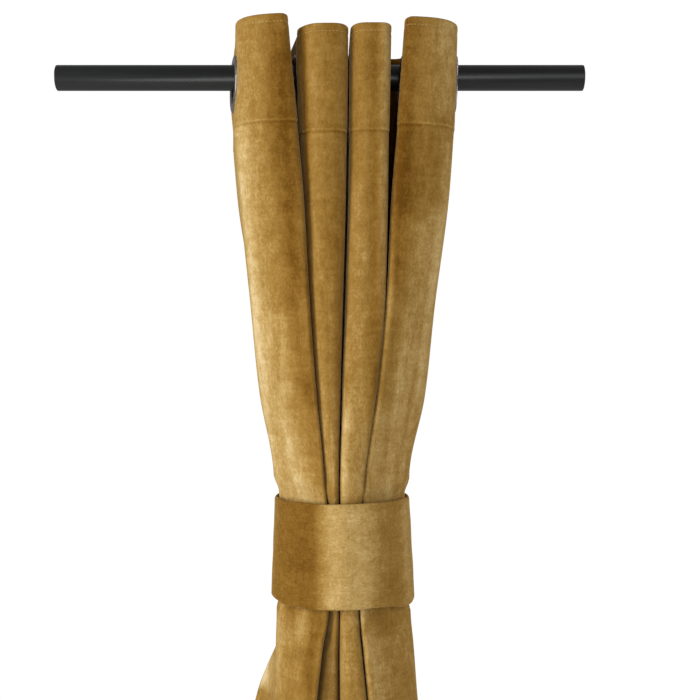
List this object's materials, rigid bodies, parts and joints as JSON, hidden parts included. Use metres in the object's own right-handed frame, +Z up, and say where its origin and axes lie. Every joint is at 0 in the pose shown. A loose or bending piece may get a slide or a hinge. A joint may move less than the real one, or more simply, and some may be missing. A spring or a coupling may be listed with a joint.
{
  "type": "velvet eyelet curtain and rod",
  "caption": "Velvet eyelet curtain gathered on a plain black rod, its pleats drawn together by a wide tie band.",
  "frame": {"origin": "middle of the rod's length, on its axis", "axes": "+Z up, +X along the rod to the viewer's right, +Y towards the wall behind the curtain"},
  "size_m": [0.526, 0.1544, 1.606],
  "materials": {
    "velvet": "mustard gold cut-pile velvet, brushed in soft streaks",
    "black_paint": "satin black",
    "nickel": "satin nickel"
  },
  "bodies": {
    "root": {"rod": "black_paint", "heading": "velvet", "panel": "velvet", "tie_band": "velvet", "eyelet_1": "nickel", "eyelet_2": "nickel", "eyelet_3": "nickel", "eyelet_4": "nickel", "eyelet_5": "nickel", "eyelet_6": "nickel", "eyelet_7": "nickel", "eyelet_8": "nickel"}
  },
  "joints": []
}
